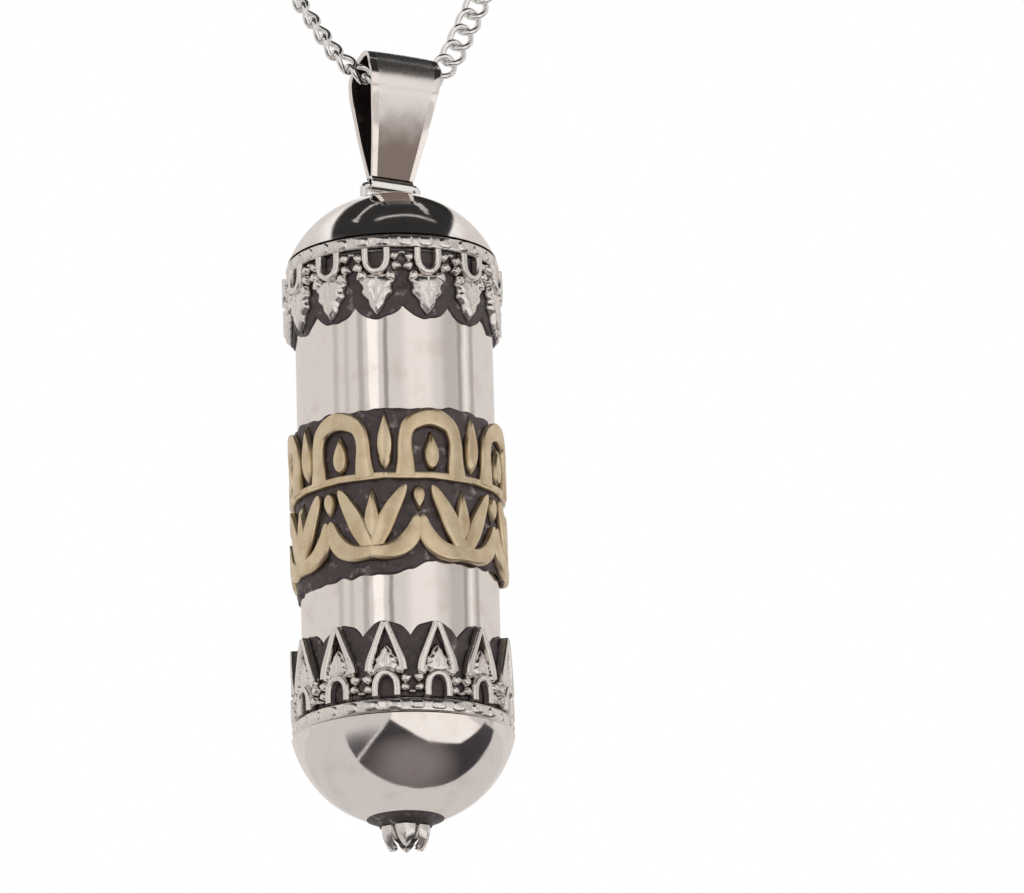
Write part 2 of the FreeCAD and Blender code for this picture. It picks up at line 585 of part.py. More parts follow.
def finial_pin():
    """The pin that rivets the finial through the dome."""
    head_z = CAP_FOOT_Z + SKIN + 0.06
    head = Part.makeCylinder(PIN_HEAD_R, PIN_HEAD, V(0, 0, head_z), Z)
    shank_z = CAP_FOOT_Z - PIN_REACH
    return head.fuse(Part.makeCylinder(PIN_R, head_z + PIN_HEAD / 2 - shank_z, V(0, 0, shank_z), Z))


# ---------------------------------------------------------------- parchment
SCROLL_FOOT_Z = CAP_Z + 0.02
SCROLL_TOP_Z = DOME_BASE_Z - SCROLL_HEADROOM


def parchment_scroll():
    return ring(SCROLL_CORE_R, SCROLL_R, SCROLL_FOOT_Z, SCROLL_TOP_Z)


def scroll_tie():
    middle = (SCROLL_FOOT_Z + SCROLL_TOP_Z) / 2
    return ring(SCROLL_R, SCROLL_R + TIE_THICK, middle - TIE_W / 2, middle + TIE_W / 2)


# ---------------------------------------------------------------- write every piece
os.makedirs("parts", exist_ok=True)

save("neck_chain", chain_run())
for side in ("left", "right"):
    save(f"chain_end_{side}", at_chain_end(end_cap(), side))
save("jump_ring", at_chain_end(jump_ring(), "left"))
save("clasp_body", at_chain_end(clasp_body(), "right"))
save("clasp_trigger", at_chain_end(clasp_trigger(), "right"))
save("clasp_spring", at_chain_end(clasp_spring(), "right"))

save("bail_strip", bail_strip())
save("bail_knuckle", bail_knuckle())

save("bail_staple", bail_staple())
save("top_dome", top_dome())
save("capsule_tube", capsule_tube())
save("thread_collar", thread_collar())
save("top_bead_ring", bead_ring(TOP_BEAD_RING_R, TOP_GALLERY_Z))
save("foot_bead_ring", bead_ring(FOOT_BEAD_RING_R, TUBE_FOOT_Z))
save("top_gallery", gallery_relief(TOP_GALLERY_Z, -1, TOP_GALLERY_RISE))
save("foot_gallery", gallery_relief(FOOT_GALLERY_Z, 1, FOOT_GALLERY_RISE))
save("top_gallery_backing", gallery_backing(TOP_GALLERY_Z, -1, TOP_GALLERY_RISE))
save("foot_gallery_backing", gallery_backing(FOOT_GALLERY_Z, 1, FOOT_GALLERY_RISE))
save("band_plate", band_plate())
arch, palmette = gold_arch(), gold_palmette()
for i in range(ORNAMENTS):
    save(f"gold_arch_{i + 1}", turned(arch, 360.0 / ORNAMENTS * i))
    save(f"gold_palmette_{i + 1}", turned(palmette, 360.0 / ORNAMENTS * (i + 0.35)))

save("parchment_scroll", parchment_scroll())
save("scroll_tie", scroll_tie())

save("cap_spigot", cap_spigot())
save("foot_dome", foot_dome())
save("finial_ring", finial_ring())
save("finial_crown", finial_crown())
save("finial_pin", finial_pin())

end = chain_points()[-1] + leaning(CHAIN_RIGHT_DEG[-1]) * CLASP_Z
print("knuckle z", round(KNUCKLE_Z, 3), "cap z", round(CAP_Z, 3), "foot", round(CAP_FOOT_Z, 3),
      "clasp centre", round(end.x, 3), round(end.z, 3), "bail shift", round(BAIL_SHIFT, 3))
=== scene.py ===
"""Looks for a silver capsule pendant: domes, galleries, gold ornaments, bail and neck chain.

Lengths are in millimetres until a mesh is made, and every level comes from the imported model's boxes.
"""
import json
import math
import random

import bpy
from mathutils import Matrix, Vector, noise


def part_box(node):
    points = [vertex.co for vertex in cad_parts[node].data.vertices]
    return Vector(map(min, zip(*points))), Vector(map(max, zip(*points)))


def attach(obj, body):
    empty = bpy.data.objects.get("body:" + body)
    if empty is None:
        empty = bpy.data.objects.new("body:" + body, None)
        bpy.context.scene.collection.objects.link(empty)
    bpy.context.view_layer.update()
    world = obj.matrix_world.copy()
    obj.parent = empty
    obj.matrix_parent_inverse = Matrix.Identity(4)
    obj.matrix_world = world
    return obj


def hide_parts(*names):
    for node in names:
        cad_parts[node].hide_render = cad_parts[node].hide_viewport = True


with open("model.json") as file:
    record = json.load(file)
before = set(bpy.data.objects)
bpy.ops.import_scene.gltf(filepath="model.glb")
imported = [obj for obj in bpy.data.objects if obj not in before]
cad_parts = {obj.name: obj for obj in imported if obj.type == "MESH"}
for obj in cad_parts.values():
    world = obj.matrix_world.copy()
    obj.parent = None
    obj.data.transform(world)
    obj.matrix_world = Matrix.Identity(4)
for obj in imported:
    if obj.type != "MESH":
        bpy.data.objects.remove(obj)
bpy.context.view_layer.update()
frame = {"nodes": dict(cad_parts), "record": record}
MM = 0.001
TAU = 2 * math.pi
UP = Vector((0, 0, 1))


# ---------------------------------------------------------------- sizes read from the frame
def span(node, axis=2):
    """Lowest and highest value of a node along one axis, in millimetres."""
    low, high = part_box(node)
    return low[axis] / MM, high[axis] / MM


TUBE_FOOT, TUBE_TOP = span("capsule_tube")
TUBE_R = span("capsule_tube", 0)[1]
DOME_BASE, DOME_TOP = span("top_dome")
DOME_R = span("top_dome", 0)[1]
CAP_FOOT, CAP_RIM = span("foot_dome")
CAP_R = span("foot_dome", 0)[1]
PLATE_FOOT, PLATE_TOP = span("band_plate")
TOP_GALLERY_TIP, TOP_GALLERY = span("top_gallery_backing")
FOOT_GALLERY, FOOT_GALLERY_TIP = span("foot_gallery_backing")
RELIEF_R = span("top_gallery", 0)[1]
SKIN = 0.35          # sheet of the domes and the bail
TUBE_WALL = 0.4
BACKING = 0.12       # blackened sheet under the galleries
RELIEF_FOOT = 0.02   # where cast relief starts over the tube
AXIS_R = 0.002       # the small hole that a lathed outline leaves at its pole
MOTIFS = 13
BEADS = 30
ORNAMENTS = 7
VIEW_AZIMUTH, VIEW_ELEVATION, VIEW_ROLL = -20.0, -16.0, 1.62


# ---------------------------------------------------------------- shader sums
class Value:
    """A shader socket that can stand in a sum."""

    def __init__(self, tree, socket):
        self.tree, self.socket = tree, socket

    def maths(self, operation, *others):
        return self.tree.node("ShaderNodeMath", {"operation": operation}, {i: v for i, v in
                              enumerate((self, *others))})

    def __add__(self, other):
        return self.maths("ADD", other)

    __radd__ = __add__

    def __sub__(self, other):
        return self.maths("SUBTRACT", other)

    def __rsub__(self, other):
        return self.tree.node("ShaderNodeMath", {"operation": "SUBTRACT"}, {0: other, 1: self})

    def __mul__(self, other):
        return self.maths("MULTIPLY", other)

    __rmul__ = __mul__

    def __truediv__(self, other):
        return self.maths("DIVIDE", other)

    def step(self, low, high, start=0.0, end=1.0):
        """A smooth ramp from start at low to end at high."""
        return self.tree.node("ShaderNodeMapRange", {"interpolation_type": "SMOOTHSTEP"},
                              {"Value": self, "From Min": low, "From Max": high,
                               "To Min": start, "To Max": end})


class Tree:
    """A node tree that is filled one node at a time."""

    def __init__(self, owner):
        owner.use_nodes = True
        self.tree = owner.node_tree
        self.tree.nodes.clear()

    def node(self, kind, settings=None, inputs=None, out=0):
        made = self.tree.nodes.new(kind)
        for name, value in (settings or {}).items():
            setattr(made, name, value)
        for name, value in (inputs or {}).items():
            if isinstance(value, Value):
                self.tree.links.new(value.socket, made.inputs[name])
            else:
                made.inputs[name].default_value = value
        return Value(self, made.outputs[out]) if made.outputs else None

    def mix(self, factor, first, second):
        """A colour between first and second."""
        return self.node("ShaderNodeMix", {"data_type": "RGBA"},
                         {"Factor": factor, 6: first, 7: second}, out=2)


class Finish(Tree):
    """A material with one Principled surface."""

    def __init__(self, name):
        self.material = bpy.data.materials.new(name)
        super().__init__(self.material)
        self.place = self.node("ShaderNodeTexCoord", out=3)

    def noise(self, scale, detail=3.0, roughness=0.55, vector=None):
        """Noise of about the given number of grains to the millimetre."""
        return self.node("ShaderNodeTexNoise", {}, {"Vector": vector or self.place, "Scale": scale / MM,
                                                     "Detail": detail, "Roughness": roughness})

    def stretched(self, x, y, z):
        return self.node("ShaderNodeVectorMath", {"operation": "MULTIPLY"},
                         {0: self.place, 1: (x, y, z)})

    def from_axis(self):
        """Distance from the capsule's axis, in millimetres."""
        flat = self.node("ShaderNodeVectorMath", {"operation": "MULTIPLY"},
                         {0: self.place, 1: (1 / MM, 1 / MM, 0)})
        return self.node("ShaderNodeVectorMath", {"operation": "LENGTH"}, {0: flat}, out=1)

    def distance_from(self, point):
        """Distance from a point, in metres."""
        away = self.node("ShaderNodeVectorMath", {"operation": "SUBTRACT"}, {0: self.place, 1: point})
        return self.node("ShaderNodeVectorMath", {"operation": "LENGTH"}, {0: away}, out=1)

    def surface(self, bumps=(), **inputs):
        """bumps holds (height, strength, millimetres) from coarse to fine."""
        normal = None
        for height, strength, depth in bumps:
            links = {"Height": height, "Strength": strength, "Distance": depth * MM}
            if normal:
                links["Normal"] = normal
            normal = self.node("ShaderNodeBump", {}, links)
        links = {name.replace("_", " ").title(): value for name, value in inputs.items()}
        if normal:
            links["Normal"] = normal
        shader = self.node("ShaderNodeBsdfPrincipled", {}, links)
        self.node("ShaderNodeOutputMaterial", {}, {"Surface": shader})
        return self.material


def polished_silver(name, tint, roughness, wave, wear):
    """Hand-polished silver: soft dents, faint scratches and a trace of tarnish."""
    f = Finish(name)
    dents = f.noise(0.35, 2.0)
    cloud = f.noise(0.8, 4.0)
    hairs = f.noise(3.0, 2.0, 0.6, f.stretched(1, 1, 9))
    tarnish = cloud.step(0.48, 0.72)
    colour = f.mix(tarnish * wear, (*tint, 1), (tint[0] * 0.80, tint[1] * 0.74, tint[2] * 0.68, 1))
    rough = roughness + 0.06 * hairs.step(0.45, 0.75) + 0.08 * tarnish * wear
    return f.surface([(dents, 1.0, wave), (hairs, 0.25, 0.002)],
                     base_color=colour, metallic=1.0, roughness=rough)


def bail_silver():
    """Sheet silver that turns dark brown and rougher towards the knuckle."""
    f = Finish("bail_silver")
    height = f.node("ShaderNodeSeparateXYZ", {}, {0: f.place}, out=2) * (1 / MM)
    cloud = f.noise(0.9, 4.0)
    hairs = f.noise(3.0, 2.0, 0.6, f.stretched(9, 1, 1))
    # from about 4.5 mm over the knuckle downwards the strip is coloured dark brown and made rougher, with a
    # cloudy edge
    dark_towards_knuckle = (height + 1.6 * (cloud - 0.5)).step(KNUCKLE.z + 1.7, KNUCKLE.z + 4.5, 1, 0)
    colour = f.mix(dark_towards_knuckle, (0.93, 0.89, 0.86, 1), (0.26, 0.21, 0.185, 1))
    rough = 0.24 + 0.10 * dark_towards_knuckle + 0.05 * hairs
    return f.surface([(cloud, 0.6, 0.03), (hairs, 0.3, 0.003)],
                     base_color=colour, metallic=1.0, roughness=rough)


def relief_silver(name, low_r, high_r):
    """Cast silver, blackened and then wiped bright on its high faces."""
    f = Finish(name)
    height = f.from_axis()
    grime = f.noise(5.0, 4.0, 0.65)
    bright = (height + 0.16 * (grime - 0.5)).step(low_r, high_r)
    speckle = f.noise(14.0, 2.0, 0.6).step(0.58, 0.72)
    shown = bright * (1 - 0.5 * speckle)
    colour = f.mix(shown, (0.045, 0.038, 0.040, 1), (0.90, 0.86, 0.83, 1))
    rough = 0.42 - 0.24 * shown
    return f.surface([(grime, 0.6, 0.02), (f.noise(12.0), 0.4, 0.006)],
                     base_color=colour, metallic=1.0, roughness=rough)


def blackened_silver(name, deep, worn):
    """Oxidised silver with a fine pitted skin and a few rubbed spots."""
    f = Finish(name)
    lumps = f.noise(1.6, 4.0, 0.6)
    pits = f.noise(9.0, 3.0, 0.6)
    rubbed = lumps.step(0.56, 0.74)
    colour = f.mix(rubbed, deep, worn)
    rough = 0.50 - 0.12 * rubbed
    return f.surface([(lumps, 0.8, 0.06), (pits, 0.7, 0.02)],
                     base_color=colour, metallic=0.75, roughness=rough)


def champagne_gold():
    """Pale gold with a brushed face, with painted shade: its sides darken to near black where it meets the
    plate.
    """
    f = Finish("champagne_gold")
    height = f.from_axis()
    cloud = f.noise(1.1, 3.0)
    brushed = f.noise(4.0, 3.0, 0.6, f.stretched(1, 1, 0.25))
    # painted shade: low on each stroke, towards the plate, the gold turns near black and rougher
    above_painted_shade = height.step(TUBE_R + 0.16, TUBE_R + 0.34)
    face = f.mix(cloud.step(0.35, 0.70), (0.83, 0.70, 0.49, 1), (0.70, 0.55, 0.36, 1))
    colour = f.mix(above_painted_shade, (0.10, 0.07, 0.05, 1), face)
    rough = 0.46 - 0.20 * above_painted_shade + 0.10 * brushed
    return f.surface([(cloud, 0.5, 0.03), (brushed, 0.35, 0.006)],
                     base_color=colour, metallic=1.0, roughness=rough)


def parchment_finish():
    f = Finish("parchment")
    mottle = f.noise(0.5, 5.0)
    grain = f.noise(6.0, 3.0)
    colour = f.mix(mottle, (0.86, 0.78, 0.60, 1), (0.70, 0.58, 0.40, 1))
    return f.surface([(grain, 0.5, 0.02)], base_color=colour, roughness=0.7 + 0.2 * grain,
                     subsurface_weight=0.1, subsurface_scale=0.0005)


def linen_finish():
    f = Finish("linen_thread")
    strands = f.noise(8.0, 2.0, 0.6, f.stretched(1, 1, 4))
    colour = f.mix(strands, (0.82, 0.77, 0.66, 1), (0.62, 0.56, 0.45, 1))
    return f.surface([(strands, 0.8, 0.03)], base_color=colour, roughness=0.9)


# ---------------------------------------------------------------- mesh tools
def piece(name, verts, faces, finish, body, replaced=(), slot=None, smooth=True):
    """A mesh object from millimetre points, riding on a body."""
    mesh = bpy.data.meshes.new(name)
    mesh.from_pydata([Vector(v) * MM for v in verts], [], faces)
    mesh.validate()
    mesh.update()
    made = bpy.data.objects.new(name, mesh)
    bpy.context.scene.collection.objects.link(made)
    made.data.materials.append(finish)
    for polygon in mesh.polygons:
        polygon.use_smooth = smooth
    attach(made, body)
    if replaced:
        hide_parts(*replaced)
    return made


def sharpen(made, degrees=35):
    """Keep edges sharper than the angle crisp, and round all others in the shading."""
    mesh = made.data
    mesh.set_sharp_from_angle(angle=math.radians(degrees))


def lathe(outline, turns=288):
    """Points and faces of a closed outline of (radius, height) turned round the axis."""
    verts, faces, rows = [], [], len(outline)
    for i in range(turns):
        angle = TAU * i / turns
        verts += [(r * math.sin(angle), -r * math.cos(angle), z) for r, z in outline]
    for i in range(turns):
        here, there = i * rows, (i + 1) % turns * rows
        for j in range(rows):
            k = (j + 1) % rows
            faces.append((here + j, there + j, there + k, here + k))
    return verts, faces


def joined(parts):
    """One list of points and faces from several."""
    verts, faces = [], []
    for more_verts, more_faces in parts:
        start = len(verts)
        verts += more_verts
        faces += [tuple(start + i for i in face) for face in more_faces]
    return verts, faces


def wrapped(parts, degrees=0.0):
    """Bend flat relief round the axis: x runs along the girth, y is height over it, z stays."""
    verts, faces = parts
    shift = math.radians(degrees)
    bent = []
    for x, y, z in verts:
        angle = x / TUBE_R + shift
        bent.append(((TUBE_R + y) * math.sin(angle), -(TUBE_R + y) * math.cos(angle), z))
    return bent, faces


def pillow(outline, crown, foot=0.0, steps=5, sharpness=2.4, centre=None, groove=0.0):
    """A low cushion over a star-shaped outline of (x, z), from height foot up to its crown."""
    count = len(outline)
    if centre is None:
        centre = (sum(p[0] for p in outline) / count, sum(p[1] for p in outline) / count)
    verts, faces = [], []
    for x, z in outline:
        verts.append((x, foot, z))
    for step in range(steps + 1):
        share = (step / steps) ** 0.8
        keep = 1 - share * 0.96
        rise = (1 - (1 - share) ** sharpness) ** (1 / sharpness) if share < 1 else 1
        dip = groove * max(0.0, share - 0.55)
        for x, z in outline:
            verts.append((centre[0] + (x - centre[0]) * keep, foot + (crown - foot) * (0.25 + 0.75 * rise)
                          - dip, centre[1] + (z - centre[1]) * keep))
    rings = steps + 2
    for ring in range(rings - 1):
        for i in range(count):
            j = (i + 1) % count
            here, above = ring * count, (ring + 1) * count
            faces.append((here + i, here + j, above + j, above + i))
    verts.append((centre[0], foot + crown - foot - groove * 0.45, centre[1]))
    top = len(verts) - 1
    last = (rings - 1) * count
    faces += [(last + i, last + (i + 1) % count, top) for i in range(count)]
    faces.append(tuple(reversed(range(count))))
    return verts, faces


# half profile of a cast stroke: (share of the half width, share of the height)
STROKE = [(1.0, 0.0), (1.0, 0.62), (0.94, 0.84), (0.80, 0.96), (0.5, 1.0)]


def stroke(spine, widths, crown, foot):
    """A raised stroke along a spine of (x, z) points, with a half width at each point."""
    section = STROKE + [(-s, h) for s, h in reversed(STROKE)]
    count = len(section)
    verts, faces = [], []
    last = len(spine) - 1
    for i, ((x, z), half) in enumerate(zip(spine, widths)):
        before, after = spine[max(i - 1, 0)], spine[min(i + 1, last)]
        along = Vector((after[0] - before[0], after[1] - before[1]))
        along.normalize()
        for side, height in section:
            verts.append((x - along.y * half * side, foot + (crown - foot) * height,
                          z + along.x * half * side))
    for i in range(last):
        for j in range(count):
            k = (j + 1) % count
            faces.append((i * count + j, i * count + k, (i + 1) * count + k, (i + 1) * count + j))
    faces.append(tuple(reversed(range(count))))
    faces.append(tuple(last * count + j for j in range(count)))
    return verts, faces


def smooth_line(points, steps=8):
    """A smooth line through the points (Catmull-Rom)."""
    line = []
    for i in range(len(points) - 1):
        a, b, c, d = (Vector(points[max(0, min(len(points) - 1, i + k))]) for k in (-1, 0, 1, 2))
        for j in range(steps):
            t = j / steps
            line.append(tuple(0.5 * ((2 * b) + (c - a) * t + (2 * a - 5 * b + 4 * c - d) * t * t
                                     + (3 * b - a - 3 * c + d) * t ** 3)))
    line.append(tuple(points[-1]))
    return line


def upside_down(parts):
    """Flat relief turned over, with its faces still outwards."""
    verts, faces = parts
    return [(x, y, -z) for x, y, z in verts], [tuple(reversed(face)) for face in faces]


def raised(parts, height):
    verts, faces = parts
    return [(x, y, z + height) for x, y, z in verts], faces


# ---------------------------------------------------------------- finishes
JOINTS = {joint["name"]: joint for joint in frame["record"]["behaviour"]["joints"]}
KNUCKLE = Vector(JOINTS["capsule_swing"]["pos_m"]) / MM
SILVER = polished_silver("polished_silver", (0.93, 0.88, 0.85), 0.07, 0.025, 0.4)
BAIL_SILVER = bail_silver()
CHAIN_SILVER = polished_silver("chain_silver", (0.97, 0.96, 0.95), 0.16, 0.01, 0.1)
BACK_BLACK = blackened_silver("blackened_silver", (0.105, 0.088, 0.090, 1), (0.36, 0.32, 0.315, 1))
BAIL_INSIDE = blackened_silver("bail_inside", (0.020, 0.015, 0.014, 1), (0.060, 0.048, 0.044, 1))
GALLERY_SILVER = relief_silver("gallery_silver", TUBE_R + 0.12, TUBE_R + 0.30)
BEAD_SILVER = relief_silver("bead_silver", TUBE_R + 0.16, TUBE_R + 0.34)
GOLD = champagne_gold()
PARCHMENT = parchment_finish()
LINEN = linen_finish()


# ---------------------------------------------------------------- domes and tube
def arc_outline(edge_r, rise, base_z, pole_z, skin, steps=40):
    """Outline of half a thin dome: its outer face to the pole and back along the inner face."""
    up = 1 if pole_z > base_z else -1
    radius = (edge_r ** 2 + rise ** 2) / (2 * rise)
    centre = pole_z - up * radius
    outline = []
    for r_shell in (radius, radius - skin):
        reach = math.asin(min(1.0, math.sqrt(max(r_shell ** 2 - (base_z - centre) ** 2, 0)) / r_shell))
        row = [(r_shell * math.sin(reach * i / steps), centre + up * r_shell * math.cos(reach * i / steps))
               for i in range(steps + 1)]
        row[0] = (AXIS_R, row[0][1])
        outline += row[::-1] if r_shell == radius else row
    return outline if up > 0 else outline[::-1]


def domes():
    top = arc_outline(DOME_R, DOME_TOP - DOME_BASE, DOME_BASE, DOME_TOP, SKIN)
    made = piece("upper_dome", *lathe(top), SILVER, "capsule", ["top_dome"], "polished_silver")
    sharpen(made)
    foot = arc_outline(CAP_R, CAP_RIM - CAP_FOOT, CAP_RIM, CAP_FOOT, SKIN)
    made = piece("lower_dome", *lathe(foot), SILVER, "cap", ["foot_dome"], "polished_silver")
    sharpen(made)


def tube():
    inside, edge = TUBE_R - TUBE_WALL, 0.05
    outline = [(inside, TUBE_FOOT), (TUBE_R - edge, TUBE_FOOT), (TUBE_R, TUBE_FOOT + edge)]
    steps = 60
    outline += [(TUBE_R, TUBE_FOOT + edge + (TUBE_TOP - TUBE_FOOT - 2 * edge) * i / steps)
                for i in range(1, steps + 1)]
    outline += [(TUBE_R - edge, TUBE_TOP), (inside, TUBE_TOP)]
    made = piece("tube", *lathe(outline), SILVER, "capsule", ["capsule_tube"], "polished_silver")
    sharpen(made)


# ---------------------------------------------------------------- beaded rims
def beaded_rim(name, node, seed):
    """A wire with long beads, each a little different, soldered round the tube."""
    low, high = span(node)
    outer = span(node, 0)[1]
    middle, half = (low + high) / 2, (high - low) / 2
    draw = random.Random(seed)
    wire = [(TUBE_R - 0.02, low + 0.02), (outer - 0.22, low + 0.03), (outer - 0.13, low + 0.12),
            (outer - 0.13, high - 0.12), (outer - 0.22, high - 0.03), (TUBE_R - 0.02, high - 0.02)]
    parts = [lathe(wire, 180)]
    pitch = TAU / BEADS
    for i in range(BEADS):
        turn = pitch * (i + draw.uniform(-0.04, 0.04))
        length = pitch * draw.uniform(0.41, 0.46)
        tall = half * draw.uniform(0.90, 1.0)
        proud = draw.uniform(0.0, 0.03)
        verts, faces = [], []
        around, along = 12, 12
        for a in range(along + 1):
            share = -1 + 2 * a / along
            waist = max(0.02, (1 - abs(share) ** 4) ** 0.5)
            angle = turn + share * length
            for b in range(around):
                t = TAU * b / around
                r = outer - proud - 0.34 + 0.34 * waist * math.cos(t)
                verts.append((r * math.sin(angle), -r * math.cos(angle),
                              middle + tall * waist * math.sin(t)))
        for a in range(along):
            for b in range(around):
                c = (b + 1) % around
                faces.append((a * around + b, (a + 1) * around + b, (a + 1) * around + c, a * around + c))
        faces.append(tuple(range(around)))
        faces.append(tuple(reversed([along * around + b for b in range(around)])))
        parts.append((verts, faces))
    made = piece(name, *joined(parts), BEAD_SILVER, "capsule", [node], "relief_silver")
    sharpen(made, 50)


# ---------------------------------------------------------------- galleries
def rough_sheet(low_edge, high_edge, thickness, across=720, up=44, seed=0.0, lump=0.05):
    """A thin pitted sheet round the tube between two edge heights given by the angle."""
    verts, faces = [], []
    for i in range(across):
        angle = TAU * i / across
        low, high = low_edge(angle), high_edge(angle)
        for j in range(up + 1):
            share = j / up
            z = low + (high - low) * share
            rim = min(1.0, min(share, 1 - share) * (high - low) / 0.16)
            rim = math.sqrt(max(0.0, 1 - (1 - rim) ** 2))
            where = Vector((math.sin(angle) * TUBE_R, -math.cos(angle) * TUBE_R, z))
            grain = noise.noise(where * 1.7 + Vector((seed, 0, 0))) + 0.5 * noise.noise(where * 4.3)
            r = TUBE_R - 0.03 + (thickness + 0.03 + lump * grain) * rim
            verts.append((r * math.sin(angle), -r * math.cos(angle), z))
    rows = up + 1
    for i in range(across):
        here, there = i * rows, (i + 1) % across * rows
        faces += [(here + j, there + j, there + j + 1, here + j + 1) for j in range(up)]
    back = len(verts)
    for i in range(across):
        angle = TAU * i / across
        verts += [((TUBE_R - 0.05) * math.sin(angle), -(TUBE_R - 0.05) * math.cos(angle), z)
                  for z in (low_edge(angle), high_edge(angle))]
    for i in range(across):
        j = (i + 1) % across
        low_here, low_there = i * rows, j * rows
        faces.append((back + 2 * i, back + 2 * j, low_there, low_here))
        faces.append((low_here + up, low_there + up, back + 2 * j + 1, back + 2 * i + 1))
        faces.append((back + 2 * i + 1, back + 2 * j + 1, back + 2 * j, back + 2 * i))
    return verts, faces


def scallop(angle):
    """0 between two leaves and 1 round a leaf's tip."""
    phase = (angle / TAU * MOTIFS) % 1.0
    return math.cos(math.pi * min(phase, 1 - phase)) ** 0.7


def leaf_outline(length, width, lobes, depth, points=44, shoulder=0.72):
    """A lobed pointed leaf from (0, 0) up to (0, length), widest near its foot for a low shoulder."""
    right = []
    for i in range(points // 2 + 1):
        t = i / (points // 2)
        swell = math.sin(math.pi * t ** shoulder) ** 0.8 if 0 < t < 1 else 0.0
        lobe = 1 - depth * (0.5 + 0.5 * math.cos(TAU * lobes * t))
        right.append((width * swell * (lobe if 0.08 < t < 0.9 else 1 - depth * 0.3), length * t))
    return right + [(-x, z) for x, z in reversed(right[1:-1])]


ARCH_LINE = [(-0.50, 0.04), (-0.50, 0.50), (-0.43, 0.88), (-0.24, 1.14)]
ARCH_CROWN_Z, ARCH_HALF = 1.22, 0.155
PETAL_MIDDLE_Z, PETAL_ROOT_R = 0.72, 0.66
SIDE_PETALS = ((108, 0.52, 0.23), (76, 0.60, 0.26), (46, 0.70, 0.27))  # degrees, length, half width
FRAME_HALF, FRAME_TAPER = 0.21, 0.08
LEAF_START = 1.18
STUD_X, STUD_Z = 1.21, 0.26


def gallery_motif(draw, rise, framed):
    """An arch open to the rim, petals at its sides, and a lobed leaf, with a pointed frame if framed."""
    top, foot = RELIEF_R - TUBE_R, RELIEF_FOOT
    arch = smooth_line(ARCH_LINE + [(0, ARCH_CROWN_Z)] + [(-x, z) for x, z in ARCH_LINE[::-1]], 6)
    parts = [stroke(arch, [ARCH_HALF] * len(arch), top, foot)]
    for side in (-1, 1):
        for degrees, length, width in SIDE_PETALS:
            turn = math.radians(degrees + draw.uniform(-4, 4)) * side
            root = Vector((math.sin(turn) * PETAL_ROOT_R, PETAL_MIDDLE_Z + math.cos(turn) * PETAL_ROOT_R))
            petal = [(root.x + x * math.cos(turn) + z * math.sin(turn),
                      root.y - x * math.sin(turn) + z * math.cos(turn))
                     for x, z in leaf_outline(length, width, 1, 0.08, 20)]
            middle = root + Vector((math.sin(turn), math.cos(turn))) * length / 2
            parts.append(pillow(petal, top - draw.uniform(0.02, 0.10), foot, 4, 3.2, centre=tuple(middle)))
        if framed:
            corners = ((0.80, 1.34), (0.74, 1.85), (0.50, 2.55), (0.05, rise - 0.30))
            edge = smooth_line([(side * x, z) for x, z in corners], 7)
            widths = [FRAME_HALF - FRAME_TAPER * i / len(edge) for i in range(len(edge))]
            parts.append(stroke(edge, widths, top - 0.02, foot))
    start, lean = LEAF_START, draw.uniform(-0.03, 0.03)
    length, width = (1.65, 0.72) if framed else (rise - 0.22 - start, 0.98)
    leaf = [(x + lean * z, z + start) for x, z in leaf_outline(length, width, 3, 0.20, 72, 0.48)]
    parts.append(pillow(leaf, top - 0.05, foot, 7, 2.2, centre=(0, start + 0.42 * length), groove=0.12))
    vein = [(0, start + 0.35), (lean, start + 0.5 * length), (lean * 2, start + 0.75 * length)]
    parts.append(stroke(vein, [0.06, 0.05, 0.02], top - 0.03, foot))
    turns = [TAU * i / 16 for i in range(16)]
    stud = [(STUD_X + 0.22 * math.cos(t), STUD_Z + 0.10 * math.sin(t)) for t in turns]
    parts.append(pillow(stud, top - 0.10, foot, 3))
    return joined(parts)


def gallery(which, away, rim_z, tip_z, framed, seed):
    """One gallery: its blackened scalloped sheet and the bright pattern on it."""
    draw = random.Random(seed)
    reach = abs(tip_z - rim_z)

    def free_edge(angle):
        where = Vector((math.sin(angle), -math.cos(angle), seed)) * 9
        wobble = 0.12 * noise.noise(where)
        return rim_z + away * (reach * (0.79 + 0.19 * scallop(angle)) + wobble)

    edges = (lambda a: rim_z, free_edge) if away > 0 else (free_edge, lambda a: rim_z)
    piece(f"{which}_gallery_sheet", *rough_sheet(*edges, BACKING, seed=seed), BACK_BLACK, "capsule",
          [f"{which}_gallery_backing"], "oxidised_silver")
    motifs = []
    for i in range(MOTIFS):
        flat = gallery_motif(draw, reach, framed)
        if away < 0:
            flat = upside_down(flat)
        motifs.append(wrapped(raised(flat, rim_z), 360.0 / MOTIFS * i))
    made = piece(f"{which}_gallery_pattern", *joined(motifs), GALLERY_SILVER, "capsule",
                 [f"{which}_gallery"], "relief_silver")
    sharpen(made, 55)


# ---------------------------------------------------------------- plate and gold ornaments
def ragged_plate():
    """The blackened plate, torn along both edges, with a step in its lower edge."""
    def tear(angle, seed):
        where = Vector((math.sin(angle), -math.cos(angle), seed))
        return 0.22 * noise.noise(where * 2.6) + 0.16 * noise.noise(where * 8.0)

    def foot_edge(angle):
        step = 0.42 * (1 + math.tanh(5.0 * math.sin(angle + 0.14)))
        return PLATE_FOOT + 0.12 + step + tear(angle, 3.1)

    def top_edge(angle):
        return PLATE_TOP - 0.08 + tear(angle, 8.7)

    sheet = rough_sheet(foot_edge, top_edge, BACKING + 0.04, across=900, up=100, seed=5.0, lump=0.07)
    piece("ragged_plate", *sheet, BACK_BLACK, "capsule", ["band_plate"], "oxidised_silver")


